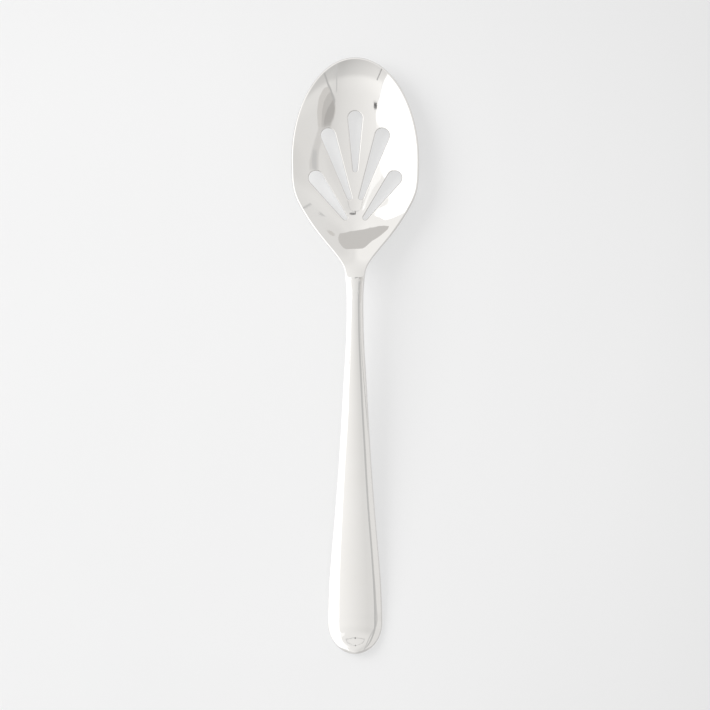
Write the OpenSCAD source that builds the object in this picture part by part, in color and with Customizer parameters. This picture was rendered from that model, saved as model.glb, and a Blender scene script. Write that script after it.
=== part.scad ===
// Slotted serving spoon: one formed and pierced blank, drawn as its bowl and its handle.
// It lies as it rests on a table, bowl up, with the tip of the bowl towards +Y.
// Every distance called back is measured along the spoon from the tip of the bowl.

/* [Overall] */
// Length from the tip of the bowl to the end of the handle
overall_length = 240; // [232:1:264]

/* [Bowl] */
// Width of the bowl at its widest
bowl_width = 51.3; // [44:0.1:60]
// Distance back from the tip to the widest place
widest_back = 41.4; // [36:0.2:46]
// Distance back from the tip to the lowest place of the inside
deepest_back = 63.5; // [58:0.5:68]
// Height of the rim above the table at the tip
tip_height = 9.5; // [7:0.5:13]
// Height of the rim beside the widest place
side_height = 10.4; // [9:0.1:13]
// Height of the rim beside the lowest place
heel_height = 10.7; // [10:0.1:13]
// Thickness of the metal in the floor of the bowl
bowl_wall = 1.8; // [1.2:0.1:2.4]
// Thickness of the metal along the rim
rim_wall = 1.4; // [1:0.1:1.8]
// Width of the rounding along the rim, seen from above
rim_round = 0.9; // [0.5:0.1:1.2]

/* [Middle slot] */
// Distance back from the tip to the centre of its broad end
middle_broad_back = 24.1; // [22:0.1:28]
// Distance back from the tip to the centre of its narrow end
middle_narrow_back = 44.8; // [40:0.1:50]

/* [Upper slots] */
// Distance back from the tip to the centre of the broad ends
upper_broad_back = 31.1; // [29:0.1:34]
// Distance from the middle of the bowl out to the centre of the broad ends
upper_broad_out = 10.9; // [10:0.1:12]
// Distance back from the tip to the centre of the narrow ends
upper_narrow_back = 55.9; // [53:0.1:58]
// Distance from the middle of the bowl out to the centre of the narrow ends
upper_narrow_out = 2.35; // [2.2:0.05:2.8]

/* [Lower slots] */
// Distance back from the tip to the centre of the broad ends
lower_broad_back = 48.2; // [46:0.1:50]
// Distance from the middle of the bowl out to the centre of the broad ends
lower_broad_out = 15.8; // [15:0.1:16.6]
// Distance back from the tip to the centre of the narrow ends
lower_narrow_back = 64.1; // [62:0.1:66]
// Distance from the middle of the bowl out to the centre of the narrow ends
lower_narrow_out = 4; // [3.6:0.1:4.6]

/* [Slot ends] */
// Radius of the broad end of each slot
slot_broad_radius = 2.9; // [2.4:0.05:3.2]
// Radius of the narrow end of each slot
slot_narrow_radius = 0.9; // [0.6:0.05:1.2]

/* [Neck] */
// Distance back from the tip to the crest, the highest place of the neck
crest_back = 88.5; // [86:0.2:92]
// Height of the crest above the table
crest_height = 15.8; // [14:0.2:20]
// Distance back from the tip to the narrowest place of the neck
neck_back = 98.7; // [96:0.2:104]
// Width of the neck at its narrowest
neck_width = 6.65; // [5.5:0.05:9]
// Thickness of the neck along its middle
neck_thick = 4; // [3:0.1:5]
// Thickness of the neck along its edges
neck_edge = 2.6; // [2:0.1:3]
// Height of the middle of the neck above its edges
neck_crown = 0.65; // [0.4:0.05:1]

/* [Handle] */
// Width of the handle at its widest
handle_width = 21.9; // [16:0.1:28]
// Length of the rounded end of the handle
end_round = 12.5; // [9:0.5:16]
// Thickness of the handle along its middle
handle_thick = 3.1; // [2.6:0.1:4]
// Thickness of the handle along its edges
handle_edge = 2; // [1.6:0.1:2.4]
// Height of the middle of the handle above its edges
handle_crown = 1.42; // [1:0.02:2]
// Width of the rounding along the handle's edges, seen from above
handle_round = 1.2; // [0.8:0.1:1.6]
// Length of the turned-up end, from the place that rests on the table to the very end
turn_length = 10; // [8:0.5:12]
// Height of the turned-up end above the place where the handle rests
turn_rise = 1.3; // [0.4:0.1:2]

/* [Hidden] */

// Halves of the three widths
half_bowl = bowl_width / 2;
half_neck = neck_width / 2;
half_handle = handle_width / 2;

// Stations along the handle: the start of its round end, and the place that rests on the table
cap_back = overall_length - end_round;
rest_back = overall_length - turn_length;

// Runs between stations, and what changes over them
tip_drop = tip_height - bowl_wall;
heel_run = crest_back - deepest_back;
heel_rise = crest_height - bowl_wall;
rim_run = deepest_back - widest_back;
rim_rise = crest_height - neck_crown - heel_height;
shoulder_run = neck_back - widest_back;
shoulder_drop = half_bowl - half_neck;
taper_run = cap_back - neck_back;
taper_grow = half_handle - half_neck;
fall_run = rest_back - crest_back;
fall_drop = crest_height - neck_crown - handle_edge;

// Each row below is a place on a smooth curve: share of the run, share of the change,
// and the slope and the curvature there in the same shares.

// Half width from the widest place of the bowl in to the neck
shoulder_shares = [
    [0.33, 0.165, 1.43, 2.4],
    [0.66, 0.783, 2.03, -5],
    [0.80, 0.970, 0.35, -6]
];
// Half width from the neck out to the round end of the handle
taper_shares = [
    [0.30, 0.218, 0.92, 0.6],
    [0.84, 0.885, 1.3, -4]
];
// Curvature of the side where the taper meets the round end, against that of the end
cap_curve_share = 0.12;
// Floor of the bowl from its lowest place up to the tip
floor_shares = [
    [0.055, 0.02, 0.56, 0.3],
    [0.69, 0.45, 0.92, 2.2],
    [1, 1, 3.45, 14]
];
// Curvature of the floor at its lowest place, its slope in the middle of the heel, and the crest
heel_shares = [
    [0, 0, 0, 2.6],
    [0.5, 0.48, 1.34, 0],
    [1, 1, 0, -3.1]
];
// Slope of the rim at the tip, in shares of its height there and of the run to the widest place
rim_tip_share = 0.1;
// Slope of the rim beside the widest place, against its mean slope from there to the lowest place
rim_side_share = 0.9;
// Rim from beside the lowest place up to the edge of the neck
heel_rim_shares = [
    [0, 0, 0.35, 0],
    [0.62, 0.53, 1.75, 0]
];
// Edge of the handle from the crest down to where it rests
fall_shares = [
    [0.083, 0.046, 0.95, 0.1],
    [0.935, 0.937, 1.07, 0]
];
// Curvature where the handle turns up, and the slope and curvature at its end
turn_shares = [4, 1.35, 0.3];
// Power of the width that the crown follows in the round end
crown_end_share = 0.5;
// Share of a section's rise that comes in its outer part, beside the widest place and halfway up the heel
full_shares = [0.35, -0.4];
// Steepest fall that the rounding of an edge can take up, in shares of its own height and width
crease_limit_share = 0.49;
// Step for slopes, as a share of the rounding of the rim
slope_step_share = 0.1;
slope_step = rim_round * slope_step_share;

// Counts of rings and of points across a ring
front_rings = 16;
side_rings = 32;
taper_rings = 24;
end_rings = 10;
across = 20;
edge_steps = 4;

// Smooth curve through rows of place, value, slope and curvature
function rail(x, rows, i = 0) =
    i < len(rows) - 2 && x > rows[i + 1][0] ? rail(x, rows, i + 1) : let(
        a = rows[i],
        b = rows[i + 1],
        run = b[0] - a[0],
        u = (x - a[0]) / run,
        c = u * u * u
    )
    a[1] * (1 - c * (10 - 15 * u + 6 * u * u))
    + b[1] * c * (10 - 15 * u + 6 * u * u)
    + a[2] * run * (u - c * (6 - 8 * u + 3 * u * u))
    + b[2] * run * c * (-4 + 7 * u - 3 * u * u)
    + a[3] * run * run * u * u * (1 - u) * (1 - u) * (1 - u) / 2
    + b[3] * run * run * c * (1 - u) * (1 - u) / 2;

// Rows of a curve from rows of shares, starting at a place and a value
function spread(shares, at, from, run, change) = [
    for (row = shares)
        [
            at + row[0] * run,
            from + row[1] * change,
            row[2] * change / run,
            row[3] * change / run / run
        ]
];

// Height of an ellipse quarter, from 1 at its middle to 0 at its end
function quarter(share) = sqrt(max(0, 1 - share * share));

side_rows = concat(
    [[widest_back, half_bowl, 0, -half_bowl / widest_back / widest_back]],
    spread(shoulder_shares, widest_back, half_bowl, shoulder_run, -shoulder_drop),
    [[neck_back, half_neck, 0, 0]],
    spread(taper_shares, neck_back, half_neck, taper_run, taper_grow),
    [[cap_back, half_handle, 0, -cap_curve_share * half_handle / end_round / end_round]]
);

// Half of the spoon's width at a distance back from the tip
function half_width(back) =
    back < widest_back ? half_bowl * quarter(1 - back / widest_back)
    : back > cap_back ? half_handle * quarter((back - cap_back) / end_round)
    : rail(back, side_rows);

// How the crown and the extra thickness of the middle die away in the round end
function end_share(back) = pow(half_width(back) / half_handle, crown_end_share);

// Height of the top face along its edge
rim_rows = concat(
    [[0, tip_height, rim_tip_share * tip_height / widest_back, 0]],
    [[widest_back, side_height, rim_side_share * (heel_height - side_height) / rim_run, 0]],
    spread(heel_rim_shares, deepest_back, heel_height, heel_run, rim_rise),
    [[crest_back, crest_height - neck_crown, 0, heel_shares[2][3] * heel_rise / heel_run / heel_run]],
    spread(fall_shares, crest_back, crest_height - neck_crown, fall_run, -fall_drop),
    [[rest_back, handle_edge, 0, turn_shares[0] * turn_rise / turn_length / turn_length]],
    [[
        overall_length,
        handle_edge + turn_rise,
        turn_shares[1] * turn_rise / turn_length,
        turn_shares[2] * turn_rise / turn_length / turn_length
    ]]
);
function rim(back) = rail(back, rim_rows);

// Height of the middle of the neck and the handle above their edges
function crown(back) =
    back < neck_back ? neck_crown
    : back > cap_back ? handle_crown * end_share(back)
    : neck_crown + (handle_crown - neck_crown) * (half_width(back) - half_neck) / taper_grow;

// Height of the top face along the middle of the bowl, from the tip back to the crest
function mirrored(rows) = [
    for (i = [len(rows) - 1:-1:0])
        [-rows[i][0], rows[i][1], -rows[i][2], rows[i][3]]
];
floor_rows = concat(
    mirrored(spread(floor_shares, -deepest_back, bowl_wall, deepest_back, tip_drop)),
    spread(heel_shares, deepest_back, bowl_wall, heel_run, heel_rise)
);
function spine(back) = back < crest_back ? rail(back, floor_rows) : rim(back) + crown(back);

// Thickness along the middle, thickness along the edge and rounding of the edge
function swell(back, bowl, neck, handle) = rail(back, [
    [deepest_back, bowl, 0, 0],
    [crest_back, neck, 0, 0],
    [cap_back, handle, 0, 0]
]);
function edge_thick(back) =
    back < deepest_back ? rim_wall
    : back > cap_back ? handle_edge
    : swell(back, rim_wall, neck_edge, handle_edge);
function middle_thick(back) =
    back < widest_back ? rim_wall + (bowl_wall - rim_wall) * pow(half_width(back) / half_bowl, 2)
    : back < deepest_back ? bowl_wall
    : back > cap_back ? handle_edge + (handle_thick - handle_edge) * end_share(back)
    : swell(back, bowl_wall, neck_thick, handle_thick);
function edge_round(back) =
    back < deepest_back ? rim_round
    : back > cap_back ? handle_round
    : swell(back, rim_round, handle_round, handle_round);

// Fullness of the section: above 0 it is steepest at its edges, below 0 it opens out towards them
full_rows = [
    [widest_back, full_shares[0], 0, 0],
    [(deepest_back + crest_back) / 2, full_shares[1], 0, 0],
    [crest_back, 0, 0, 0]
];
function fullness(back) =
    back < widest_back ? full_shares[0] * pow(half_width(back) / half_bowl, 2)
    : back < crest_back ? rail(back, full_rows)
    : 0;

// What the section needs at a distance back: half width, middle height, edge height and fullness
function section(back) = [half_width(back), spine(back), rim(back), fullness(back)];

// Height of the top face at a distance out from the middle of a section
function top_height(out, cut) = let(t = out / cut[0])
    cut[1] + (cut[2] - cut[1]) * t * t * (1 - cut[3] + cut[3] * t * t);

// Places round the plan outline: out, back, and the direction that points away from the metal
function place(out, back, away_out, away_back) = let(size = norm([away_out, away_back]))
    [out, back, away_out / size, away_back / size];
function front_place(turn) = place(
    half_bowl * sin(turn),
    widest_back * (1 - cos(turn)),
    sin(turn) / half_bowl,
    -cos(turn) / widest_back
);
function side_place(back) = place(
    half_width(back),
    back,
    slope_step * 2,
    half_width(back - slope_step) - half_width(back + slope_step)
);
function end_place(turn) = place(
    half_handle * cos(turn),
    cap_back + end_round * sin(turn),
    cos(turn) / half_handle,
    sin(turn) / end_round
);

front_places = [for (i = [0:front_rings]) front_place(90 * i / front_rings)];
side_places = [for (i = [1:side_rings]) side_place(widest_back + shoulder_run * i / side_rings)];
taper_places = [for (i = [0:taper_rings]) side_place(neck_back + taper_run * i / taper_rings)];
end_places = [for (i = [1:end_rings]) end_place(90 * i / end_rings)];

// One ring of points: the top row, one edge, the bottom row and the other edge
function ring(spot) = let(
        round = edge_round(spot[1]),
        out = spot[0] - round * spot[2],
        back = spot[1] - round * spot[3],
        cut = section(back),
        before = section(back - slope_step),
        after = section(back + slope_step),
        steps = [for (j = [0:across]) out * (2 * j / across - 1)],
        tops = [for (x = steps) top_height(x, cut)],
        thicks = [
            for (x = steps) let(
                t = x / cut[0],
                lean_out = (top_height(x + slope_step, cut) - top_height(x - slope_step, cut)),
                lean_back = (top_height(x, after) - top_height(x, before)),
                lean = norm([2 * slope_step, lean_out, lean_back]) / (2 * slope_step)
            )
            lean * (middle_thick(back) + (edge_thick(back) - middle_thick(back)) * t * t)
        ],
        y = overall_length / 2 - back,
        half = thicks[0] / 2,
        // A top face that falls towards its edge runs into the rounding without a crease
        fall = max(0, top_height(out - slope_step, cut) - top_height(out, cut)) / slope_step,
        ratio = min(fall * round / half, crease_limit_share),
        start = asin(ratio / (1 - ratio)),
        bend = [
            for (k = [1:edge_steps - 1]) let(
                part = k / edge_steps,
                turn = part < 0.5 ? start + (90 - start) * 2 * part : 180 * part,
                reach = turn < 90 ? (sin(turn) - sin(start)) / (1 - sin(start)) : sin(turn),
                lift = turn < 90 ? cos(turn) / cos(start) : cos(turn)
            )
            [out + round * reach * spot[2], y - round * reach * spot[3], tops[0] + half * (lift - 1)]
        ]
    )
    concat(
        [for (j = [0:across]) [steps[j], y, tops[j]]],
        bend,
        [for (j = [across:-1:0]) [steps[j], y, tops[j] - thicks[j]]],
        [for (k = [edge_steps - 2:-1:0]) [-bend[k][0], bend[k][1], bend[k][2]]]
    );

// Faces of a solid that runs through the rings, with its ends closed
ring_size = 2 * (across + 1) + 2 * (edge_steps - 1);
function same(a, b) = norm(a - b) < slope_step * slope_step_share;
function corners(points, list) = [
    for (k = [0:2])
        if (!same(points[list[k]], points[list[(k + 1) % 3]])) list[k]
];
function skin(points, rings) = [
    for (i = [0:rings - 2], k = [0:ring_size - 1]) let(
        a = i * ring_size + k,
        b = i * ring_size + (k + 1) % ring_size,
        c = b + ring_size,
        d = a + ring_size
    )
    each [corners(points, [a, b, c]), corners(points, [a, c, d])]
];
module loft(places) {
    rings = [for (spot = places) ring(spot)];
    points = [for (one = rings) each one];
    faces = [for (face = skin(points, len(rings))) if (len(face) == 3) face];
    last = (len(rings) - 1) * ring_size;
    // The ring at a rounded tip has shrunk to one upright line, which needs no end face
    ends = [
        if (!same(rings[0][0], rings[0][across])) [for (k = [ring_size - 1:-1:0]) k],
        if (!same(points[last], points[last + across])) [for (k = [0:ring_size - 1]) last + k]
    ];
    polyhedron(points, concat(faces, ends));
}

// Slot outline: two round ends joined by straight sides that touch both
module petal(broad, narrow) {
    way = narrow - broad;
    reach = norm(way);
    lean = acos((slot_broad_radius - slot_narrow_radius) / reach);
    aim = atan2(way[1], way[0]);
    function touch(centre, radius, turn) = centre + radius * [cos(aim + turn), sin(aim + turn)];
    translate(broad) circle(slot_broad_radius, $fn = 48);
    translate(narrow) circle(slot_narrow_radius, $fn = 32);
    polygon([
        touch(broad, slot_broad_radius, lean),
        touch(narrow, slot_narrow_radius, lean),
        touch(narrow, slot_narrow_radius, -lean),
        touch(broad, slot_broad_radius, -lean)
    ]);
}

// A slot cut straight down through the bowl
module slot(broad_out, broad_back, narrow_out, narrow_back) {
    tip_y = overall_length / 2;
    translate([0, 0, -bowl_wall]) linear_extrude(crest_height + bowl_wall)
        petal([broad_out, tip_y - broad_back], [narrow_out, tip_y - narrow_back]);
}

module bowl() {
    color("silver") difference() {
        loft(concat(front_places, side_places));
        slot(0, middle_broad_back, 0, middle_narrow_back);
        for (side = [-1, 1]) {
            slot(side * upper_broad_out, upper_broad_back, side * upper_narrow_out, upper_narrow_back);
            slot(side * lower_broad_out, lower_broad_back, side * lower_narrow_out, lower_narrow_back);
        }
    }
}

module handle() {
    color("silver") loft(concat(taper_places, end_places));
}

bowl();
handle();
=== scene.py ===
"""The slotted serving spoon, dressed: one seamless piece of polished steel on a pale marble table.

The spoon's form comes from smooth curves through a few named places, in metres, in the frame of the CAD
model. Every distance called back is measured along the spoon from the tip of its bowl.
"""
import math

import bmesh
import bpy
import numpy as np
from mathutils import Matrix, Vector
from mathutils.geometry import delaunay_2d_cdt


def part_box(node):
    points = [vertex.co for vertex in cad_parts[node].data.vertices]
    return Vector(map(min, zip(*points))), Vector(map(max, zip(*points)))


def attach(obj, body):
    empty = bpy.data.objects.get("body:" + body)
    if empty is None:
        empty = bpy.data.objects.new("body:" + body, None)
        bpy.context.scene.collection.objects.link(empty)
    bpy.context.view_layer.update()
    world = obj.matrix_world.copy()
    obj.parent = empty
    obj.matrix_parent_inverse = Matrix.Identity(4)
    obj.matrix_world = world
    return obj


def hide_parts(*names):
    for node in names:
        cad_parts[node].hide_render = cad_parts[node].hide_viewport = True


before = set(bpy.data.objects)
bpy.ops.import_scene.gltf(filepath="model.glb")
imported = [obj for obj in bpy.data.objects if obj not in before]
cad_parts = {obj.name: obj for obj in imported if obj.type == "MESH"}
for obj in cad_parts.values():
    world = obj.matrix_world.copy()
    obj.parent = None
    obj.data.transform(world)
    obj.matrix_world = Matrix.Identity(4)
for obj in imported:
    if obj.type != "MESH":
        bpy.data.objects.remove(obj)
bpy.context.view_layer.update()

MM = 0.001

# Sizes that the CAD model gives
bowl_low, bowl_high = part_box("bowl")
handle_low, handle_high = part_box("handle")
overall_length = bowl_high.y - handle_low.y
tip_y = bowl_high.y
neck_back = tip_y - bowl_low.y
half_bowl = bowl_high.x
half_handle = handle_high.x
crest_height = bowl_high.z

# Bowl
widest_back = 41.4 * MM
deepest_back = 63.5 * MM
tip_height = 9.5 * MM
side_height = 10.4 * MM
heel_height = 10.7 * MM
bowl_wall = 1.8 * MM
rim_wall = 1.4 * MM
rim_round = 0.75 * MM

# Neck
crest_back = 88.5 * MM
half_neck = 3.325 * MM
neck_thick = 4 * MM
neck_edge = 2.6 * MM
neck_crown = 0.65 * MM

# Handle
end_round = 12.5 * MM
handle_thick = 3.1 * MM
handle_edge = 2 * MM
handle_crown = 1.42 * MM
handle_round = 0.6 * MM
turn_length = 10 * MM
turn_rise = 1.3 * MM

# Slots: out and back of the broad end, then out and back of the narrow end
SLOTS = (
    (0 * MM, 24.1 * MM, 0 * MM, 44.8 * MM),
    (10.9 * MM, 31.1 * MM, 2.35 * MM, 55.9 * MM),
    (-10.9 * MM, 31.1 * MM, -2.35 * MM, 55.9 * MM),
    (15.8 * MM, 48.2 * MM, 4 * MM, 64.1 * MM),
    (-15.8 * MM, 48.2 * MM, -4 * MM, 64.1 * MM),
)
slot_broad_radius = 2.9 * MM
slot_narrow_radius = 0.9 * MM
# Softened edges of the slots, above and below
slot_soft_top = 0.45 * MM
slot_soft_under = 0.3 * MM

# Mesh spacing, the step for slopes, and how clear of the loops the points between them stay
outline_gap = 0.8 * MM
slot_gap = 0.35 * MM
inside_gap = 0.75 * MM
slope_step = 0.02 * MM
OUTLINE_CLEAR_SHARE = 0.6
SLOT_CLEAR_SHARE = 0.45
EDGE_STEPS = 12
SOFT_STEPS = 6
FEWEST_ROUND_STEPS = 8
PLAN_TOLERANCE = 1e-9
SMALLEST_LENGTH = 1e-12
# Points whose distances are worked out at once
BATCH = 400

# Camera, and the width of what it shows on the table
CAMERA_HEIGHT = 1.2
CAMERA_PLACE = (-0.08 * MM, 0.57 * MM)
VIEW_WIDTH = 286.88 * MM
SENSOR_WIDTH = 36

# Steel: its roughness, what duller patches and polishing lines add, and its darker and lighter tint
STEEL_ROUGHNESS = 0.035
PATCH_ROUGHNESS = 0.02
LINE_ROUGHNESS = 0.015
STEEL_DARKER = (0.735, 0.722, 0.703)
STEEL_LIGHTER = (0.75, 0.74, 0.724)

# Table: where painted light on it is brightest, where that fades, its clouds, and the share of what is
# seen that is a painted glow, which lightens shadows
TABLE_HALF = 4.0
PAINTED_LIGHT_PLACE = (-0.09, -0.03, 0)
PAINTED_LIGHT_START = 0.12
PAINTED_LIGHT_REACH = 0.36
TONE_IN_PAINTED_LIGHT = 0.88
TONE_LOW = 0.79
CLOUD_TONE = 0.02
PAINTED_GLOW_SHARE = 0.65

# Light on the table
SKY_LEVEL = 0.6
WINDOW_PLACE = (-1.05, 0.5, 0.85)
WINDOW_WIDTH = 1.0
WINDOW_POWER = 15

# White tent: angles in degrees across or along the spoon, then the levels that they bring
TENT_RADIUS = 9
FRONT_ACROSS = (-25, 14, 1.25, 0.91)
FRONT_EDGE_ACROSS = (18, 26, 0, 0.05)
FRONT_LOW_ALONG = (-40, -21, 0.68, 0.86)
FRONT_RISE_ALONG = (-23, -17.5, 0, 0.17)
FRONT_FALL_ALONG = (-15, -9, 0, 0.03)
BACK_ACROSS = (-40, 75, 1.18, 0.88)
BACK_CORNER_ACROSS = (15, 50, 0, 0.07)
BACK_CORNER_ALONG = (8, 30)
FRONT_TO_BACK_ALONG = (-6, 4)
TENT_TINT = (1.005, 1, 0.992)

# Cards of the studio, in metres. Each group hangs at its own height, in layers so that one card can
# hide another.
LAYER = 1 * MM
WHITE_LEVEL = 1.6
FAR_HEIGHT = 3.6
WINDOW_PANE = (
    (-1.08, -0.22), (-1.3, -0.7), (-1.6, -1.0), (-2.1, -1.5), (-3, -2.3), (-14, -10), (-14, 11),
    (-8.8, 6.1), (-3.8, 1.85), (-2.9, 1.05), (-2.3, 0.5), (-1.75, 0.05), (-1.4, -0.1),
)
PANE_GLOW = ((-0.8, -0.23), (-0.86, -0.03), (-1.4, -0.03), (-1.4, -0.1), (-1.08, -0.22))
PANE_GLOW_LEVEL = 1.32
# On the left, upright: places of y and z
WALL_X = -6
LEFT_WALL = ((-6, 0), (4.6, 0), (4.6, 2.1), (4.25, 2.7), (3.8, 3.6), (-6, 3.6))

# Over the bowl: places, or places with widths, and the level of each card
BOWL_HEIGHT = 0.45
PANE_CORNER = (
    (-0.374, -0.131), (-0.355, -0.181), (-0.246, -0.083), (-0.158, 0.005), (-0.121, 0.026),
    (-0.106, 0.038), (-0.103, 0.042), (-0.134, 0.042), (-0.176, 0.037), (-0.206, 0.02), (-0.262, -0.02),
)
PANE_FRAME = (
    (-0.355, -0.181, 0.008), (-0.246, -0.083, 0.006), (-0.158, 0.005, 0.004), (-0.122, 0.025, 0.003),
)
PANE_FRAME_LEVEL = 1.1
BAG_SHADE = (
    (0.193, -0.033), (0.126, 0.015), (0.106, 0.028), (0.101, 0.036), (0.107, 0.04), (0.126, 0.042),
    (0.237, 0.037), (0.264, 0.016), (0.271, -0.014), (0.242, -0.039),
)
BAG_SHADE_LEVEL = 0.8
BAG_SIDE = (
    (0.167, -0.005), (0.118, 0.021), (0.109, 0.029), (0.104, 0.035), (0.11, 0.04), (0.13, 0.042),
    (0.2, 0.039), (0.208, 0.023), (0.204, 0.008), (0.181, -0.003),
)
BAG_SIDE_LEVEL = 0.68
BAG = (
    (0.129, 0.019), (0.107, 0.031), (0.11, 0.039), (0.13, 0.042), (0.181, 0.04), (0.178, 0.033),
    (0.158, 0.024),
)
BAG_LEVEL = 0.56
BAG_WARMTH = 0.02
STRAP = ((0.333, -0.18, 0.0136), (0.21, -0.048, 0.0091), (0.146, 0.005, 0.0057), (0.112, 0.025, 0.0041))
STRAP_LEVEL = 0.6
WALL_CORNER = (
    (0.222, -0.285, 0.0146), (0.188, -0.191, 0.0124), (0.152, -0.087, 0.0099), (0.115, 0.007, 0.0072),
)
WALL_CORNER_LEVEL = 0.74
BLIND_CORD = ((-0.287, -0.199, 0.007), (-0.228, -0.129, 0.006), (-0.167, -0.057, 0.005))
BLIND_CORD_LEVEL = 0.35
LOW_LINE_HEIGHT = 1.6
LOW_LINE = ((7.54, 5.47, 0.09), (5.65, 4.0, 0.06), (4.09, 2.75, 0.045), (3.05, 1.91, 0.035))
LOW_LINE_LEVEL = 0.7
SHADE_TRAIL = (
    (0.225, 0.037), (0.152, 0.041), (0.175, 0.043), (0.229, 0.051), (0.273, 0.067), (0.429, 0.087),
    (0.322, 0.057),
)
SHADE_TRAIL_LEVEL = 0.83
SHADE_TRAIL_WARMTH = 0.01
BLOTCH = ((0.306, 0.056), (0.252, 0.053), (0.304, 0.073), (0.361, 0.076))
BLOTCH_LEVEL = 0.74
BOLT = ((-0.102, 0.026), (-0.123, 0.023), (-0.117, 0.031), (-0.097, 0.033))
BOLT_LEVEL = 0.15

# Over the handle: places, or places with widths
HANDLE_HEIGHT = 0.1
HANDLE_PANE = (
    (-0.054, 0.03), (-0.057, 0.014), (-0.056, 0), (-0.048, -0.008), (-0.041, -0.016), (-0.034, -0.027),
    (-0.033, -0.038), (-0.036, -0.05), (-0.039, -0.062), (-0.04, -0.08), (-0.039, -0.1), (-0.038, -0.125),
    (-0.038, -0.15), (-0.4, -0.15), (-0.4, 0.03),
)
STAND = (
    (0.03, 0.021, 0.012), (0.03, 0.015, 0.015), (0.033, -0.006, 0.014), (0.036, -0.035, 0.01),
    (0.041, -0.06, 0.0075), (0.042, -0.08, 0.006), (0.045, -0.1, 0.005), (0.0472, -0.126, 0.0045),
    (0.0478, -0.134, 0.0045), (0.0478, -0.142, 0.004),
)
STAND_LEVEL = 0.66

# Glare on the table along the handle's left edge
GLARE_HEIGHT = 0.0002
GLARE = (
    (-0.6, -0.122), (-0.013, -0.122), (-0.0125, -0.1), (-0.009, -0.06), (-0.0052, 0),
    (-0.0043, 0.033), (-0.6, 0.033),
)

# Close over the bowl's heel, leaning: its outline from above and its height where x is 0 and y is 50, all
# in mm, and how much the height changes with x and with y
HEEL_CARD = (
    (-3.6, 53.8), (-1, 55), (0.9, 55.5), (3.1, 55.9), (6, 56.1), (8, 56), (10.1, 55.6), (9.3, 55.1),
    (6.8, 54.6), (3.9, 53.9), (2.6, 53.5), (1.7, 52.8), (0.4, 51.5), (-0.6, 51.1), (-1.3, 51.2),
    (-2.1, 51.5), (-2.9, 51.8), (-3.5, 52.3), (-3.8, 52.8), (-3.8, 53.4),
)
HEEL_CARD_HEIGHT = 13
HEEL_CARD_PLACE = 50
HEEL_CARD_LEANS = (0.35, -1.4)
HEEL_CARD_LEVEL = 0.735
HEEL_CARD_WARMTH = 0.018

# Camera, its arm and its grip: places, or places with widths
CAMERA_BODY_HEIGHT = 1.25
CAMERA_BODY = ((-0.012, -0.014), (0.012, -0.014), (0.014, 0.006), (-0.014, 0.006))
CAMERA_BODY_LEVEL = 0.03
CAMERA_ARM_HEIGHT = 1.26
CAMERA_ARM = (
    (-0.306, -0.033, 0.005), (-0.189, -0.011, 0.005), (-0.065, -0.004, 0.005), (0.024, -0.002, 0.005),
    (0.144, -0.008, 0.005), (0.241, -0.021, 0.005), (0.31, -0.034, 0.005),
)
CAMERA_ARM_LEVEL = 0.6
CAMERA_GRIP_HEIGHT = 0.8
CAMERA_GRIP = (
    (-0.017, 0.026), (0.093, 0.034), (0.169, 0.051), (0.179, 0.069), (0.102, 0.063), (-0.019, 0.051),
)
CAMERA_GRIP_LEVEL = 0.35

cap_back = overall_length - end_round
rest_back = overall_length - turn_length
shoulder_run = neck_back - widest_back
taper_run = cap_back - neck_back
heel_run = crest_back - deepest_back
heel_rise = crest_height - bowl_wall
neck_rim = crest_height - neck_crown

# Rows of place, value, slope and curvature, as shares of a run and of a change
SHOULDER_SHARES = ((0.33, 0.165, 1.43, 2.4), (0.66, 0.783, 2.03, -5), (0.80, 0.970, 0.35, -6))
TAPER_SHARES = ((0.30, 0.218, 0.92, 0.6), (0.84, 0.885, 1.3, -4))
CAP_CURVE_SHARE = 0.12
FLOOR_SHARES = ((0.055, 0.02, 0.56, 0.3), (0.69, 0.45, 0.92, 2.2), (1, 1, 3.45, 14))
HEEL_SHARES = ((0, 0, 0, 2.6), (0.5, 0.48, 1.34, 0), (1, 1, 0, -3.1))
RIM_TIP_SHARE = 0.1
RIM_SIDE_SHARE = 0.9
HEEL_RIM_SHARES = ((0, 0, 0.35, 0), (0.62, 0.53, 1.75, 0))
FALL_SHARES = ((0.083, 0.046, 0.95, 0.1), (0.935, 0.937, 1.07, 0))
TURN_SHARES = (4, 1.35, 0.3)
CROWN_END_SHARE = 0.5
FULL_SHARES = (0.35, -0.4)
CREASE_LIMIT_SHARE = 0.49


def rail(x, rows):
    """Smooth curve through rows of place, value, slope and curvature."""
    rows = np.array(rows, float)
    i = np.clip(np.searchsorted(rows[:, 0], x, side="right") - 1, 0, len(rows) - 2)
    a, b = rows[i], rows[i + 1]
    run = b[..., 0] - a[..., 0]
    u = (x - a[..., 0]) / run
    c = u**3
    rise = c * (10 - 15 * u + 6 * u * u)
    return (
        a[..., 1] * (1 - rise)
        + b[..., 1] * rise
        + a[..., 2] * run * (u - c * (6 - 8 * u + 3 * u * u))
        + b[..., 2] * run * c * (-4 + 7 * u - 3 * u * u)
        + a[..., 3] * run**2 * u**2 * (1 - u) ** 3 / 2
        + b[..., 3] * run**2 * c * (1 - u) ** 2 / 2
    )


def spread(shares, at, start, run, change):
    """Rows of a curve from rows of shares."""
    return [
        (at + p * run, start + v * change, s * change / run, k * change / run**2)
        for p, v, s, k in shares
    ]


def quarter(share):
    """Height of an ellipse quarter, from 1 at its middle to 0 at its end."""
    return np.sqrt(np.maximum(0, 1 - share**2))


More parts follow.
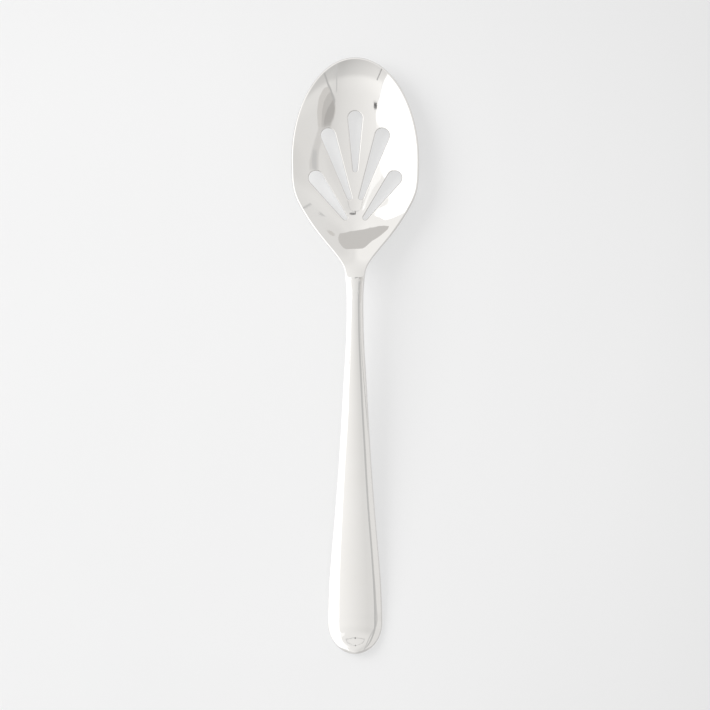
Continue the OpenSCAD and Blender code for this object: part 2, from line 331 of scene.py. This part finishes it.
SIDE_ROWS = [
    (widest_back, half_bowl, 0, -half_bowl / widest_back**2),
    *spread(SHOULDER_SHARES, widest_back, half_bowl, shoulder_run, half_neck - half_bowl),
    (neck_back, half_neck, 0, 0),
    *spread(TAPER_SHARES, neck_back, half_neck, taper_run, half_handle - half_neck),
    (cap_back, half_handle, 0, -CAP_CURVE_SHARE * half_handle / end_round**2),
]
RIM_SIDE_SLOPE = RIM_SIDE_SHARE * (heel_height - side_height) / (deepest_back - widest_back)
RIM_ROWS = [
    (0, tip_height, RIM_TIP_SHARE * tip_height / widest_back, 0),
    (widest_back, side_height, RIM_SIDE_SLOPE, 0),
    *spread(HEEL_RIM_SHARES, deepest_back, heel_height, heel_run, neck_rim - heel_height),
    (crest_back, neck_rim, 0, HEEL_SHARES[2][3] * heel_rise / heel_run**2),
    *spread(FALL_SHARES, crest_back, neck_rim, rest_back - crest_back, handle_edge - neck_rim),
    (rest_back, handle_edge, 0, TURN_SHARES[0] * turn_rise / turn_length**2),
    (
        overall_length,
        handle_edge + turn_rise,
        TURN_SHARES[1] * turn_rise / turn_length,
        TURN_SHARES[2] * turn_rise / turn_length**2,
    ),
]
FULL_ROWS = [
    (widest_back, FULL_SHARES[0], 0, 0),
    ((deepest_back + crest_back) / 2, FULL_SHARES[1], 0, 0),
    (crest_back, 0, 0, 0),
]
FLOOR_ROWS = [
    *[
        (-p, v, -s, k)
        for p, v, s, k in reversed(
            spread(FLOOR_SHARES, -deepest_back, bowl_wall, deepest_back, tip_height - bowl_wall)
        )
    ],
    *spread(HEEL_SHARES, deepest_back, bowl_wall, heel_run, heel_rise),
]


def half_width(back):
    """Half of the spoon's width."""
    front = half_bowl * quarter(1 - np.minimum(back, widest_back) / widest_back)
    end = half_handle * quarter((np.maximum(back, cap_back) - cap_back) / end_round)
    side = rail(np.clip(back, widest_back, cap_back), SIDE_ROWS)
    return np.where(back < widest_back, front, np.where(back > cap_back, end, side))


def rim(back):
    """Height of the top face along its edge."""
    return rail(back, RIM_ROWS)


def end_share(back):
    """How the crown and the extra thickness of the middle die away in the handle's round end."""
    return np.where(back > cap_back, (half_width(back) / half_handle) ** CROWN_END_SHARE, 1)


def crown(back):
    """Height of the middle of the neck and the handle above their edges."""
    half = half_width(back)
    side = neck_crown + (handle_crown - neck_crown) * (half - half_neck) / (half_handle - half_neck)
    front = np.where(back < neck_back, neck_crown, side)
    return np.where(back > cap_back, handle_crown * end_share(back), front)


def spine(back):
    """Height of the top face along its middle."""
    bowl = rail(np.clip(back, 0, crest_back), FLOOR_ROWS)
    return np.where(back < crest_back, bowl, rim(back) + crown(back))


def swell(back, bowl, neck, handle):
    """A size that changes from the bowl to the neck and on to the handle."""
    rows = ((deepest_back, bowl, 0, 0), (crest_back, neck, 0, 0), (cap_back, handle, 0, 0))
    return rail(np.clip(back, deepest_back, cap_back), rows)


def fullness(back):
    """Above 0 a section is steepest at its edges, and below 0 it opens out towards them."""
    front = FULL_SHARES[0] * (half_width(back) / half_bowl) ** 2
    return np.where(back < widest_back, front, rail(np.clip(back, widest_back, crest_back), FULL_ROWS))


def top_height(x, y):
    """Height of the top face over a place on the table."""
    back = tip_y - y
    half = half_width(back)
    full = fullness(back)
    t = x / half
    mid = spine(back)
    return mid + (rim(back) - mid) * t * t * (1 - full + full * t * t)


def thickness(x, y):
    """Upright thickness of the metal over a place on the table."""
    back = tip_y - y
    half = half_width(back)
    bowl = np.where(back < widest_back, (half / half_bowl) ** 2, 1)
    edge = swell(back, rim_wall, neck_edge, handle_edge)
    middle = swell(back, bowl_wall, neck_thick, handle_thick)
    middle = edge + (middle - edge) * bowl * end_share(back)
    lean_x, lean_y = slopes(top_height, x, y)
    return np.sqrt(1 + lean_x**2 + lean_y**2) * (middle + (edge - middle) * (x / half) ** 2)


def under_height(x, y):
    """Height of the underside over a place on the table."""
    return top_height(x, y) - thickness(x, y)


def slopes(height, x, y):
    """Slopes of a face towards +X and towards +Y."""
    lean_x = (height(x + slope_step, y) - height(x - slope_step, y)) / (2 * slope_step)
    lean_y = (height(x, y + slope_step) - height(x, y - slope_step)) / (2 * slope_step)
    return lean_x, lean_y


def unit(vectors):
    """Vectors of length one."""
    return vectors / np.maximum(np.linalg.norm(vectors, axis=-1, keepdims=True), SMALLEST_LENGTH)


def face_normals(height, x, y, side):
    """Directions that point out of the top face (side 1) or the underside (side -1)."""
    lean_x, lean_y = slopes(height, x, y)
    return unit(np.stack([-lean_x, -lean_y, np.ones_like(x)], -1)) * side


def outline():
    """Places round the spoon's outline, from the tip, and the way out of the metal at each."""
    turns = np.linspace(0, math.pi / 2, round(math.pi / 2 * widest_back / outline_gap))
    front = np.stack([half_bowl * np.sin(turns), widest_back * (1 - np.cos(turns))], -1)
    front_out = np.stack([np.sin(turns) / half_bowl, np.cos(turns) / widest_back], -1)
    back = np.linspace(widest_back, cap_back, round((cap_back - widest_back) / outline_gap))[1:-1]
    side = np.stack([half_width(back), back], -1)
    lean = (half_width(back + slope_step) - half_width(back - slope_step)) / (2 * slope_step)
    side_out = np.stack([np.ones_like(back), lean], -1)
    turns = np.linspace(0, math.pi / 2, round(math.pi / 2 * end_round / outline_gap))
    end = np.stack([half_handle * np.cos(turns), cap_back + end_round * np.sin(turns)], -1)
    end_out = np.stack([np.cos(turns) / half_handle, -np.sin(turns) / end_round], -1)
    right = np.concatenate([front, side, end])
    right[:, 1] = tip_y - right[:, 1]
    right_out = unit(np.concatenate([front_out, side_out, end_out]))
    mirror = np.array([-1, 1])
    left = (right[1:-1] * mirror)[::-1]
    left_out = (right_out[1:-1] * mirror)[::-1]
    places = np.concatenate([right, left])[::-1]
    ways = np.concatenate([right_out, left_out])[::-1]
    return places, ways


def petal(broad_out, broad_back, narrow_out, narrow_back):
    """Places round a slot, two round ends joined by straight sides, and the way into the metal there."""
    broad = np.array([broad_out, tip_y - broad_back])
    narrow = np.array([narrow_out, tip_y - narrow_back])
    way = narrow - broad
    reach = np.linalg.norm(way)
    aim = math.atan2(way[1], way[0])
    lean = math.acos((slot_broad_radius - slot_narrow_radius) / reach)
    side_steps = round(reach / slot_gap)
    places, ways = [], []
    for centre, radius, start, stop in (
        (broad, slot_broad_radius, aim + lean, aim + 2 * math.pi - lean),
        (narrow, slot_narrow_radius, aim - lean, aim + lean),
    ):
        count = max(FEWEST_ROUND_STEPS, round(radius * (stop - start) / slot_gap))
        turns = np.linspace(start, stop, count)
        arc_out = np.stack([np.cos(turns), np.sin(turns)], -1)
        places.append(centre + radius * arc_out)
        ways.append(arc_out)
    shares = np.linspace(0, 1, side_steps)[1:-1, None]
    loop, loop_out = [], []
    for k in range(2):
        here, there = places[k], places[1 - k]
        loop += [here, here[-1] * (1 - shares) + there[0] * shares]
        loop_out += [ways[k], np.repeat(ways[k][-1:], len(shares), 0)]
    return np.concatenate(loop), np.concatenate(loop_out)


def edge_rings(places, ways):
    """Rings of points that round the spoon's outer edge, from the top face down to the underside."""
    back = tip_y - places[:, 1]
    round_out = swell(back, rim_round, handle_round, handle_round)
    x, y = (places - ways * round_out[:, None]).T
    height = top_height(x, y)
    half = thickness(x, y) / 2
    inner = top_height(x - ways[:, 0] * slope_step, y - ways[:, 1] * slope_step)
    fall = np.maximum(0, inner - height) / slope_step
    ratio = np.minimum(fall * round_out / half, CREASE_LIMIT_SHARE)
    start = np.arcsin(ratio / (1 - ratio))
    rings = []
    for share in np.linspace(0, 1, EDGE_STEPS + 1):
        if share < 0.5:
            turn = start + (math.pi / 2 - start) * share * 2
            reach = (np.sin(turn) - np.sin(start)) / (1 - np.sin(start))
            lift = np.cos(turn) / np.cos(start)
        else:
            turn = np.full_like(x, math.pi * share)
            reach = np.sin(turn)
            lift = np.cos(turn)
        out = (round_out * reach)[:, None] * ways
        rings.append(np.stack([x + out[:, 0], y + out[:, 1], height + half * (lift - 1)], -1))
    rings[-1][:, 2] = under_height(x, y)
    return np.array(rings), fall > 0


def slot_rings(places, ways):
    """Rings of points from the top face, over a slot's softened edge, down its wall and under."""
    rings = []
    for k in range(SOFT_STEPS + 1):
        turn = math.pi / 2 * k / SOFT_STEPS
        x, y = (places + ways * slot_soft_top * (1 - math.sin(turn))).T
        rings.append(np.stack([x, y, top_height(x, y) - slot_soft_top * (1 - math.cos(turn))], -1))
    for k in range(SOFT_STEPS // 2 + 1):
        turn = math.pi / 2 * (1 - 2 * k / SOFT_STEPS)
        x, y = (places + ways * slot_soft_under * (1 - math.sin(turn))).T
        rings.append(np.stack([x, y, under_height(x, y) + slot_soft_under * (1 - math.cos(turn))], -1))
    return np.array(rings)


def ring_normals(rings, side):
    """Directions out of a band of rings, from its own run along and across."""
    along = np.roll(rings, -1, 1) - np.roll(rings, 1, 1)
    across = np.gradient(rings, axis=0)
    return unit(np.cross(along, across)) * side


def inside(points, loop):
    """Which points of the table lie inside a loop."""
    x, y = points[:, 0:1], points[:, 1:2]
    a, b = loop, np.roll(loop, -1, 0)
    crosses = (a[:, 1] > y) != (b[:, 1] > y)
    run = np.where(b[:, 1] == a[:, 1], 1, b[:, 1] - a[:, 1])
    return (crosses & (x < a[:, 0] + (y - a[:, 1]) * (b[:, 0] - a[:, 0]) / run)).sum(1) % 2 == 1


def nearest(points, loop):
    """Distance from each point to the nearest place of a loop."""
    parts = np.array_split(points, max(1, len(points) // BATCH))
    return np.concatenate([np.linalg.norm(p[:, None] - loop[None], axis=-1).min(1) for p in parts])


def filled(outer, holes):
    """Plan points and triangles between an outer loop and its holes; the loops' points come first."""
    rows = []
    for back in np.arange(inside_gap, overall_length - inside_gap, inside_gap):
        half = float(half_width(np.array(back)))
        count = max(2, round(2 * half / inside_gap))
        rows.append(np.stack([np.linspace(-half, half, count), np.full(count, tip_y - back)], -1))
    points = np.concatenate(rows)
    points = points[inside(points, outer) & (nearest(points, outer) > inside_gap * OUTLINE_CLEAR_SHARE)]
    for hole in holes:
        points = points[~inside(points, hole) & (nearest(points, hole) > inside_gap * SLOT_CLEAR_SHARE)]
    verts, edges, start = [], [], 0
    for loop in (outer, *holes):
        verts.append(loop)
        edges += [(start + i, start + (i + 1) % len(loop)) for i in range(len(loop))]
        start += len(loop)
    verts = np.concatenate([*verts, points])
    plan = [Vector(v) for v in verts]
    out, _, faces, origin, _, _ = delaunay_2d_cdt(plan, edges, [], 0, PLAN_TOLERANCE)
    if len(out) != len(verts):
        raise ValueError("the plan's loops cross each other")
    number = np.array([o[0] for o in origin])
    faces = number[np.array(faces)]
    middles = verts[faces].mean(1)
    keep = inside(middles, outer)
    for hole in holes:
        keep &= ~inside(middles, hole)
    return verts, faces[keep]


class Shell:
    """Points, faces and corner directions of a mesh while it is put together."""

    def __init__(self):
        self.points, self.faces, self.normals = [], [], []
        self.count = 0

    def add_points(self, points):
        """Adds points and gives their numbers."""
        self.points.append(points)
        numbers = np.arange(self.count, self.count + len(points))
        self.count += len(points)
        return numbers

    def add_faces(self, faces, normals):
        """Adds faces and the direction at each of their corners."""
        self.faces += faces.tolist()
        self.normals.append(normals.reshape(-1, 3))

    def add_band(self, numbers, normals, flip):
        """Four-sided faces between rings whose points have these numbers."""
        for k in range(len(numbers) - 1):
            a, b = numbers[k], np.roll(numbers[k], -1)
            c, d = np.roll(numbers[k + 1], -1), numbers[k + 1]
            na, nb = normals[k], np.roll(normals[k], -1, 0)
            nc, nd = np.roll(normals[k + 1], -1, 0), normals[k + 1]
            if flip:
                self.add_faces(np.stack([a, d, c, b], -1), np.stack([na, nd, nc, nb], 1))
            else:
                self.add_faces(np.stack([a, b, c, d], -1), np.stack([na, nb, nc, nd], 1))

    def build(self, name):
        """Makes the object from what was added."""
        mesh = bpy.data.meshes.new(name)
        mesh.from_pydata(np.concatenate(self.points).tolist(), [], self.faces)
        mesh.polygons.foreach_set("use_smooth", [True] * len(mesh.polygons))
        mesh.normals_split_custom_set(np.concatenate(self.normals).tolist())
        mesh.update()
        thing = bpy.data.objects.new(name, mesh)
        bpy.context.scene.collection.objects.link(thing)
        return thing


def face_sheet(shell, verts, faces, height, side, loops):
    """Adds the top face or the underside; the loops' points are already in the shell."""
    x, y = verts.T
    rest = verts[len(loops):]
    points = np.stack([rest[:, 0], rest[:, 1], height(rest[:, 0], rest[:, 1])], -1)
    numbers = np.concatenate([loops, shell.add_points(points)])
    normals = face_normals(height, x, y, side)
    ordered = faces if side > 0 else faces[:, ::-1]
    shell.add_faces(numbers[ordered], normals[ordered])


def steel_spoon():
    """The whole spoon as one closed skin: faces, rounded outer edge and five softened slots."""
    shell = Shell()
    places, ways = outline()
    edge, smooth = edge_rings(places, ways)
    edge_numbers = [shell.add_points(ring) for ring in edge]
    edge_normals = ring_normals(edge, 1)
    if (edge_normals[EDGE_STEPS // 2, :, :2] * ways).sum() < 0:
        edge_normals = -edge_normals
    top_normals = face_normals(top_height, edge[0, :, 0], edge[0, :, 1], 1)
    edge_normals[0] = np.where(smooth[:, None], top_normals, edge_normals[0])
    shell.add_band(edge_numbers, edge_normals, flip=True)
    top_loops, under_loops = [edge[0, :, :2]], [edge[-1, :, :2]]
    top_numbers, under_numbers = [edge_numbers[0]], [edge_numbers[-1]]
    for sizes in SLOTS:
        slot_places, slot_ways = petal(*sizes)
        rings = slot_rings(slot_places, slot_ways)
        numbers = [shell.add_points(ring) for ring in rings]
        normals = ring_normals(rings, 1)
        if (normals[SOFT_STEPS, :, :2] * slot_ways).sum() > 0:
            normals = -normals
        normals[0] = face_normals(top_height, rings[0, :, 0], rings[0, :, 1], 1)
        normals[-1] = face_normals(under_height, rings[-1, :, 0], rings[-1, :, 1], -1)
        shell.add_band(numbers, normals, flip=False)
        top_loops.append(rings[0, :, :2])
        under_loops.append(rings[-1, :, :2])
        top_numbers.append(numbers[0])
        under_numbers.append(numbers[-1])
    for loops, numbers, height, side in (
        (top_loops, top_numbers, top_height, 1),
        (under_loops, under_numbers, under_height, -1),
    ):
        verts, faces = filled(loops[0], loops[1:])
        face_sheet(shell, verts, faces, height, side, np.concatenate(numbers))
    return shell.build("spoon")


class Wire:
    """A shader socket that adds a Math node when it is used in a sum."""

    def __init__(self, maker, socket):
        self.maker, self.socket = maker, socket

    def math(self, operation, *others):
        """Adds a Math node that starts from this socket."""
        return self.maker.add("ShaderNodeMath", {"operation": operation}, self, *others)

    def __add__(self, other):
        return self.math("ADD", other)

    __radd__ = __add__

    def __mul__(self, other):
        return self.math("MULTIPLY", other)

    __rmul__ = __mul__

    def __sub__(self, other):
        return self.math("SUBTRACT", other)

    def __rsub__(self, other):
        return (self * -1) + other


class Shader:
    """Adds nodes to one material or world: type, then settings, then the values or links of sockets."""

    def __init__(self, owner):
        owner.use_nodes = True
        self.tree = owner.node_tree
        self.tree.nodes.clear()

    def add(self, kind, settings, *inputs, out=0, **named):
        """Adds a node and gives one of its outputs, where it has any."""
        node = self.tree.nodes.new(kind)
        for name, value in settings.items():
            setattr(node, name, value)
        by_name = [(name.replace("_", " "), value) for name, value in named.items()]
        for key, value in (*enumerate(inputs), *by_name):
            if isinstance(value, Wire):
                self.tree.links.new(value.socket, node.inputs[key])
            elif value is not None:
                node.inputs[key].default_value = value
        return Wire(self, node.outputs[out]) if node.outputs else None

    def ramp(self, factor, *stops):
        """A colour ramp whose stops are pairs of place and colour."""
        wire = self.add("ShaderNodeValToRGB", {}, factor)
        elements = wire.socket.node.color_ramp.elements
        while len(elements) < len(stops):
            elements.new(1)
        for element, (place, colour) in zip(elements, stops):
            element.position = place
            element.color = (*colour, 1)
        return wire

    def range(self, value, low, high, to_low=0.0, to_high=1.0, smooth=True):
        """Maps one range of a value to another, and holds it at the ends."""
        settings = {"interpolation_type": "SMOOTHSTEP" if smooth else "LINEAR"}
        return self.add("ShaderNodeMapRange", settings, value, low, high, to_low, to_high)

    def finish(self, surface, kind="ShaderNodeOutputMaterial"):
        """Adds the output of the material or the world."""
        self.add(kind, {}, Surface=surface)


def polished_steel():
    """Mirror-polished stainless steel: faint lengthwise polishing lines and slightly duller patches."""
    material = bpy.data.materials.new("polished_steel")
    shader = Shader(material)
    place = shader.add("ShaderNodeTexCoord", {}, out="Object")
    long_lines = shader.add("ShaderNodeMapping", {}, place, Scale=(1, 0.04, 1))
    lines = shader.add("ShaderNodeTexNoise", {}, Vector=long_lines, Scale=2600, Detail=3, Roughness=0.6)
    patches = shader.add("ShaderNodeTexNoise", {}, Vector=place, Scale=55, Detail=4, Roughness=0.55)
    dull = shader.range(patches, 0.45, 0.75)
    roughness = STEEL_ROUGHNESS + dull * PATCH_ROUGHNESS + (lines - 0.5) * LINE_ROUGHNESS
    tint = shader.ramp(patches, (0.3, STEEL_DARKER), (0.7, STEEL_LIGHTER))
    bump = shader.add("ShaderNodeBump", {}, Strength=0.02, Distance=0.00002, Height=lines)
    steel = shader.add(
        "ShaderNodeBsdfPrincipled", {}, Base_Color=tint, Metallic=1.0, Roughness=roughness, Normal=bump
    )
    shader.finish(steel)
    return material


def marble_table():
    """Pale honed marble with faint lengthwise clouds, and painted light that makes it a little brighter
    on the left.

    Wherever the camera or the steel sees it, part of what is seen is a glow in the stone's colour,
    painted light that also lightens the spoon's shadow on it.
    """
    material = bpy.data.materials.new("pale_marble")
    shader = Shader(material)
    place = shader.add("ShaderNodeTexCoord", {}, out="Object")
    long_clouds = shader.add("ShaderNodeMapping", {}, place, Scale=(1, 0.3, 1))
    clouds = shader.add("ShaderNodeTexNoise", {}, Vector=long_clouds, Scale=14, Detail=5, Distortion=0.8)
    distance = {"operation": "DISTANCE"}
    # Painted light: the stone is brighter near a place on its left, towards the window, and darker
    # farther off.
    from_painted_light = shader.add("ShaderNodeVectorMath", distance, place, PAINTED_LIGHT_PLACE, out="Value")
    stone_and_painted_light = shader.range(from_painted_light, PAINTED_LIGHT_START, PAINTED_LIGHT_REACH, TONE_IN_PAINTED_LIGHT, TONE_LOW)
    stone_and_painted_light = stone_and_painted_light + (clouds - 0.5) * CLOUD_TONE
    shade = shader.add("ShaderNodeCombineXYZ", {}, stone_and_painted_light, stone_and_painted_light, stone_and_painted_light)
    stone = shader.add(
        "ShaderNodeBsdfPrincipled", {}, Base_Color=shade, Roughness=0.45, Specular_IOR_Level=0.25
    )
    # A painted glow in the stone's colour, seen by the camera and in the steel; it lightens the spoon's
    # shadow on the table.
    painted_glow = shader.add("ShaderNodeEmission", {}, Color=shade, Strength=1.0)
    seen = [
        shader.add("ShaderNodeLightPath", {}, out=name)
        for name in ("Is Camera Ray", "Is Glossy Ray", "Is Transmission Ray")
    ]
    share = (seen[0] + seen[1] + seen[2]) * PAINTED_GLOW_SHARE
    shader.finish(shader.add("ShaderNodeMixShader", {}, share, stone, painted_glow))
    return material


def glow(name, colour):
    """Material of a card that gives an even light."""
    material = bpy.data.materials.new(name)
    shader = Shader(material)
    shader.finish(shader.add("ShaderNodeEmission", {}, Color=(*colour, 1), Strength=1.0))
    return material


def grey(level, warmth=0.0):
    """A grey light of this level, a little warmer where asked."""
    return (level * (1 + warmth), level, level * (1 - warmth))


def mirrored_only(thing):
    """Keeps a studio piece out of sight and out of the light: only the steel's reflections show it."""
    thing.visible_camera = False
    thing.visible_diffuse = False
    thing.visible_shadow = False
    thing.visible_transmission = False


def card(name, corners, material):
    """A flat studio card."""
    mesh = bpy.data.meshes.new(name)
    mesh.from_pydata(corners, [], [tuple(range(len(corners)))])
    mesh.materials.append(material)
    thing = bpy.data.objects.new(name, mesh)
    bpy.context.scene.collection.objects.link(thing)
    mirrored_only(thing)


def overhead(name, places, height, colour):
    """A level card above the table."""
    card(name, [(x, y, height) for x, y in places], glow(name + "_light", colour))


def ribbon(name, rows, height, colour):
    """A level strip above the table through rows of x, y and width."""
    x, y, width = np.array(rows).T
    run = unit(np.stack([np.gradient(x), np.gradient(y)], -1)) * width[:, None] / 2
    left = np.stack([x - run[:, 1], y + run[:, 0]], -1)
    right = np.stack([x + run[:, 1], y - run[:, 0]], -1)
    overhead(name, np.concatenate([left, right[::-1]]).tolist(), height, colour)


def tent_light():
    """Light of the white tent: falling from left to right, a little dimmer low in front."""
    material = bpy.data.materials.new("tent_light")
    shader = Shader(material)
    place = shader.add("ShaderNodeTexCoord", {}, out="Object")
    x = shader.add("ShaderNodeSeparateXYZ", {}, place, out=0)
    y = shader.add("ShaderNodeSeparateXYZ", {}, place, out=1)
    z = shader.add("ShaderNodeSeparateXYZ", {}, place, out=2)
    across = x.math("ARCTAN2", z).math("DEGREES")
    along = y.math("ARCTAN2", z).math("DEGREES")
    front = shader.range(across, *FRONT_ACROSS, smooth=False) + shader.range(across, *FRONT_EDGE_ACROSS)
    front = front * (
        shader.range(along, *FRONT_LOW_ALONG, smooth=False)
        + shader.range(along, *FRONT_RISE_ALONG)
        - shader.range(along, *FRONT_FALL_ALONG)
    )
    corner = shader.range(along, *BACK_CORNER_ALONG) * shader.range(across, *BACK_CORNER_ACROSS)
    back = shader.range(across, *BACK_ACROSS, smooth=False) + corner
    level = front + (back - front) * shader.range(along, *FRONT_TO_BACK_ALONG)
    colour = shader.add("ShaderNodeCombineXYZ", {}, *(level * share for share in TENT_TINT))
    shader.finish(shader.add("ShaderNodeEmission", {}, Color=colour, Strength=1.0))
    return material


def tent():
    """The white tent round the table."""
    mesh = bpy.data.meshes.new("tent")
    ball = bmesh.new()
    bmesh.ops.create_uvsphere(ball, u_segments=64, v_segments=48, radius=TENT_RADIUS)
    ball.to_mesh(mesh)
    ball.free()
    mesh.materials.append(tent_light())
    thing = bpy.data.objects.new("tent", mesh)
    bpy.context.scene.collection.objects.link(thing)
    mirrored_only(thing)


def heel_card():
    """The dark card that the heel of the bowl shows as a patch."""
    lean_x, lean_y = HEEL_CARD_LEANS
    corners = []
    for x, y in HEEL_CARD:
        height = HEEL_CARD_HEIGHT + lean_x * x + lean_y * (y - HEEL_CARD_PLACE)
        corners.append((x * MM, y * MM, height * MM))
    card("heel_card", corners, glow("heel_card_light", grey(HEEL_CARD_LEVEL, HEEL_CARD_WARMTH)))


def studio():
    """What the mirror finish shows: a window on the left, dark things on the right, the camera above."""
    white = grey(WHITE_LEVEL)
    tent()
    overhead("window_pane", WINDOW_PANE, FAR_HEIGHT, white)
    overhead("pane_glow", PANE_GLOW, FAR_HEIGHT, grey(PANE_GLOW_LEVEL))
    card("left_wall", [(WALL_X, y, z) for y, z in LEFT_WALL], glow("left_wall_light", white))
    overhead("pane_corner", PANE_CORNER, BOWL_HEIGHT, white)
    ribbon("pane_frame", PANE_FRAME, BOWL_HEIGHT - LAYER, grey(PANE_FRAME_LEVEL))
    overhead("bag_shade", BAG_SHADE, BOWL_HEIGHT, grey(BAG_SHADE_LEVEL, BAG_WARMTH))
    overhead("bag_side", BAG_SIDE, BOWL_HEIGHT - LAYER, grey(BAG_SIDE_LEVEL, BAG_WARMTH))
    overhead("bag", BAG, BOWL_HEIGHT - 2 * LAYER, grey(BAG_LEVEL, BAG_WARMTH))
    ribbon("strap", STRAP, BOWL_HEIGHT - 3 * LAYER, grey(STRAP_LEVEL))
    ribbon("wall_corner", WALL_CORNER, BOWL_HEIGHT, grey(WALL_CORNER_LEVEL))
    ribbon("blind_cord", BLIND_CORD, BOWL_HEIGHT, grey(BLIND_CORD_LEVEL))
    ribbon("low_line", LOW_LINE, LOW_LINE_HEIGHT, grey(LOW_LINE_LEVEL))
    overhead("shade_trail", SHADE_TRAIL, BOWL_HEIGHT + LAYER, grey(SHADE_TRAIL_LEVEL, SHADE_TRAIL_WARMTH))
    overhead("blotch", BLOTCH, BOWL_HEIGHT, grey(BLOTCH_LEVEL))
    overhead("bolt", BOLT, BOWL_HEIGHT - LAYER, grey(BOLT_LEVEL))
    overhead("handle_pane", HANDLE_PANE, HANDLE_HEIGHT, white)
    ribbon("stand", STAND, HANDLE_HEIGHT, grey(STAND_LEVEL))
    overhead("glare", GLARE, GLARE_HEIGHT, white)
    heel_card()
    overhead("camera_body", CAMERA_BODY, CAMERA_BODY_HEIGHT, grey(CAMERA_BODY_LEVEL))
    ribbon("camera_arm", CAMERA_ARM, CAMERA_ARM_HEIGHT, grey(CAMERA_ARM_LEVEL))
    overhead("camera_grip", CAMERA_GRIP, CAMERA_GRIP_HEIGHT, grey(CAMERA_GRIP_LEVEL))


def surroundings():
    """Even white light on the table."""
    world = bpy.context.scene.world or bpy.data.worlds.new("surroundings")
    bpy.context.scene.world = world
    shader = Shader(world)
    sky = shader.add("ShaderNodeBackground", {}, Color=(1, 1, 1, 1), Strength=SKY_LEVEL)
    shader.finish(sky, "ShaderNodeOutputWorld")


def table():
    """The table that the spoon rests on."""
    mesh = bpy.data.meshes.new("table")
    corners = [(x * TABLE_HALF, y * TABLE_HALF, 0) for x, y in ((-1, -1), (1, -1), (1, 1), (-1, 1))]
    mesh.from_pydata(corners, [], [(0, 1, 2, 3)])
    thing = bpy.data.objects.new("table", mesh)
    bpy.context.scene.collection.objects.link(thing)
    mesh.materials.append(marble_table())


def window_light():
    """The soft key light from the left, which lays the spoon's shadow to the right."""
    light = bpy.data.lights.new("window", "AREA")
    light.shape = "DISK"
    light.size = WINDOW_WIDTH
    light.energy = WINDOW_POWER
    lamp = bpy.data.objects.new("window", light)
    lamp.location = WINDOW_PLACE
    lamp.rotation_euler = (-Vector(WINDOW_PLACE)).to_track_quat("-Z", "Y").to_euler()
    lamp.visible_glossy = False
    bpy.context.scene.collection.objects.link(lamp)


def overhead_camera():
    """The camera looks straight down, as in the photograph."""
    data = bpy.data.cameras.new("overhead")
    data.sensor_width = SENSOR_WIDTH
    data.lens = data.sensor_width * CAMERA_HEIGHT / VIEW_WIDTH
    camera = bpy.data.objects.new("overhead", data)
    camera.location = (*CAMERA_PLACE, CAMERA_HEIGHT)
    bpy.context.scene.collection.objects.link(camera)
    bpy.context.scene.camera = camera


bpy.context.scene.view_settings.view_transform = "Standard"
overhead_camera()
surroundings()
table()
window_light()
studio()

spoon = steel_spoon()
spoon.data.materials.append(polished_steel())
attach(spoon, "root")
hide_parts("bowl", "handle")
